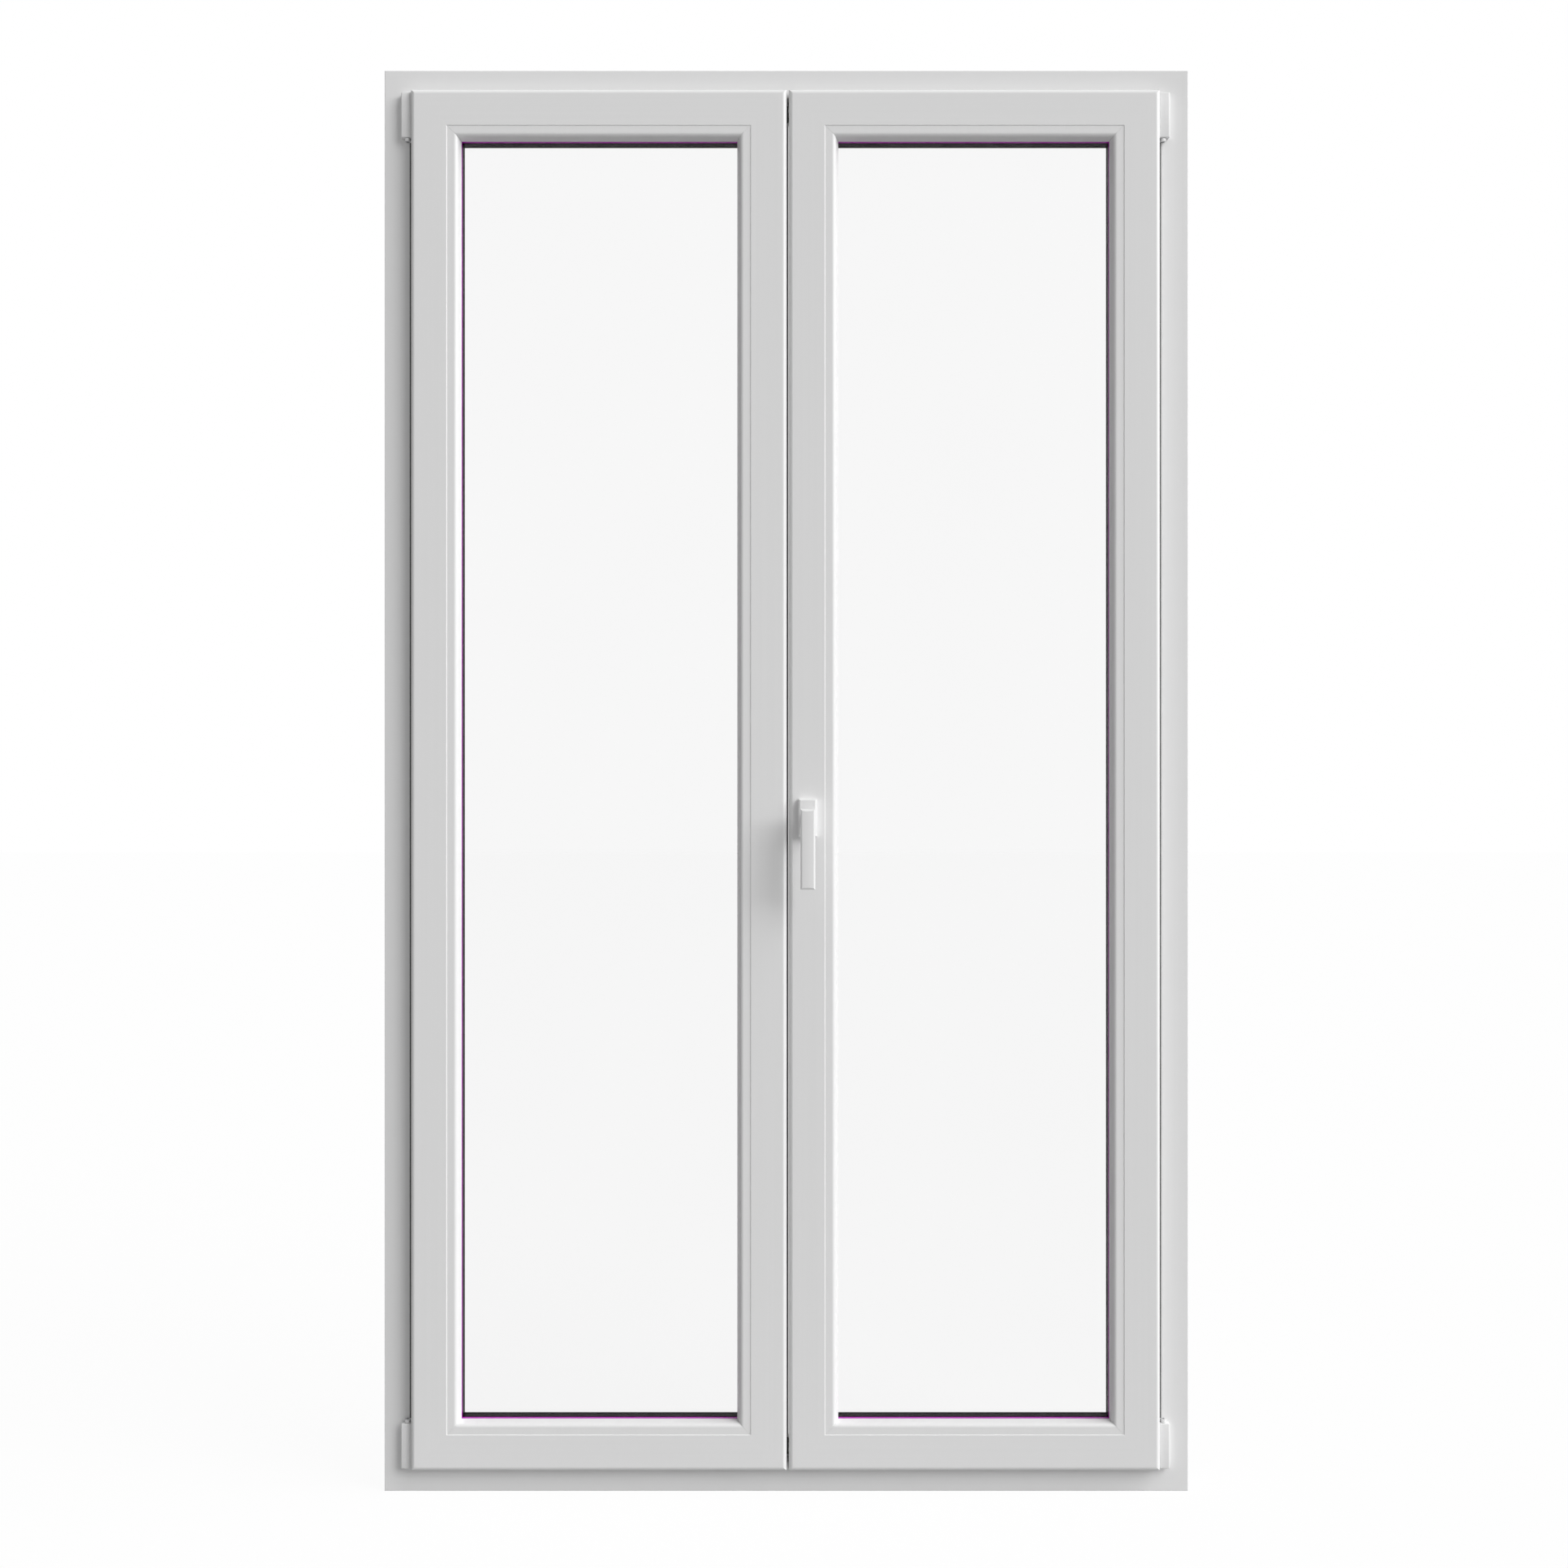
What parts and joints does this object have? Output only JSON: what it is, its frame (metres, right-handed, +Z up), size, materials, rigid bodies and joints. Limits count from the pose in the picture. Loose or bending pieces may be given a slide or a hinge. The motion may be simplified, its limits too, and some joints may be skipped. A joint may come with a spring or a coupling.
{
  "type": "two-leaf hinged glazed balcony door with frame",
  "caption": "White plastic double door in its frame: glazed leaves hinged on the outer jambs, lever handle on the right leaf and shoot bolts on the left.",
  "frame": {"origin": "centre of the frame's bottom face", "axes": "+X right as seen from the room, +Y to the outside, +Z up"},
  "size_m": [1.188, 0.145, 2.1],
  "materials": {
    "white_pvc": "satin",
    "cap_white": "satin",
    "handle_white": "satin",
    "glass": "polished",
    "zinc_steel": "zinc plated",
    "black_rubber": "matte",
    "purple_gasket": "matte",
    "grey_seal": "matte",
    "black_spacer": "matte",
    "block_plastic": "matte"
  },
  "bodies": {
    "frame": {"frame_head": "white_pvc", "frame_sill": "white_pvc", "frame_jamb_left": "white_pvc", "frame_jamb_right": "white_pvc", "frame_steels": "zinc_steel", "stop_gasket": "black_rubber", "hinge_bearings": "zinc_steel", "hinge_pins": "zinc_steel", "hinge_cap_top_left": "cap_white", "hinge_cap_bottom_left": "cap_white", "hinge_cap_top_right": "cap_white", "hinge_cap_bottom_right": "cap_white", "head_strike": "zinc_steel", "sill_strike": "zinc_steel"},
    "left_leaf": {"left_hinge_stile": "white_pvc", "left_meeting_stile": "white_pvc", "left_top_rail": "white_pvc", "left_bottom_rail": "white_pvc", "left_steels": "zinc_steel", "left_beads": "white_pvc", "left_inner_pane": "glass", "left_outer_pane": "glass", "left_spacer": "black_spacer", "left_bead_gasket": "purple_gasket", "left_outer_gasket": "black_rubber", "left_overlap_gasket": "black_rubber", "left_glazing_blocks": "block_plastic", "left_hinge_arms": "zinc_steel", "astragal": "white_pvc", "astragal_seal": "grey_seal", "astragal_cap_top": "black_rubber", "astragal_cap_bottom": "black_rubber", "lock_keeps": "zinc_steel", "bolt_guides": "zinc_steel"},
    "right_leaf": {"right_hinge_stile": "white_pvc", "right_meeting_stile": "white_pvc", "right_top_rail": "white_pvc", "right_bottom_rail": "white_pvc", "right_steels": "zinc_steel", "right_beads": "white_pvc", "right_inner_pane": "glass", "right_outer_pane": "glass", "right_spacer": "black_spacer", "right_bead_gasket": "purple_gasket", "right_outer_gasket": "black_rubber", "right_overlap_gasket": "black_rubber", "right_glazing_blocks": "block_plastic", "right_hinge_arms": "zinc_steel", "lock_rail": "zinc_steel", "gear_case": "zinc_steel", "handle_rosette": "handle_white"},
    "handle": {"handle_lever": "handle_white", "spindle": "zinc_steel", "pinion": "zinc_steel"},
    "lock_drive": {"drive_bar": "zinc_steel", "lock_cams": "zinc_steel"},
    "upper_bolt": {"top_bolt": "zinc_steel"},
    "lower_bolt": {"bottom_bolt": "zinc_steel"}
  },
  "joints": [
    {"name": "left_leaf_swing", "type": "hinge", "parent": "frame", "child": "left_leaf", "pos_m": [-0.5595, -0.041, 1.05], "axis": [0, 0, -1], "range_deg": [0, 95]},
    {"name": "right_leaf_swing", "type": "hinge", "parent": "frame", "child": "right_leaf", "pos_m": [0.5565, -0.041, 1.05], "axis": [0, 0, 1], "range_deg": [0, 95]},
    {"name": "handle_turn", "type": "hinge", "parent": "right_leaf", "child": "handle", "pos_m": [0.031, -0.055, 0.9957], "axis": [0, -1, 0], "range_deg": [0, 90]},
    {"name": "drive_bar_slide", "type": "slide", "parent": "right_leaf", "child": "lock_drive", "axis": [0, 0, -1], "range_m": [0, 0.01767]},
    {"name": "top_bolt_slide", "type": "slide", "parent": "left_leaf", "child": "upper_bolt", "axis": [0, 0, 1], "range_m": [0, 0.0115]},
    {"name": "bottom_bolt_slide", "type": "slide", "parent": "left_leaf", "child": "lower_bolt", "axis": [0, 0, -1], "range_m": [0, 0.0115]}
  ],
  "couplings": [
    {"joint": "drive_bar_slide", "follows": "handle_turn", "m_per_rad": 0.01125}
  ]
}
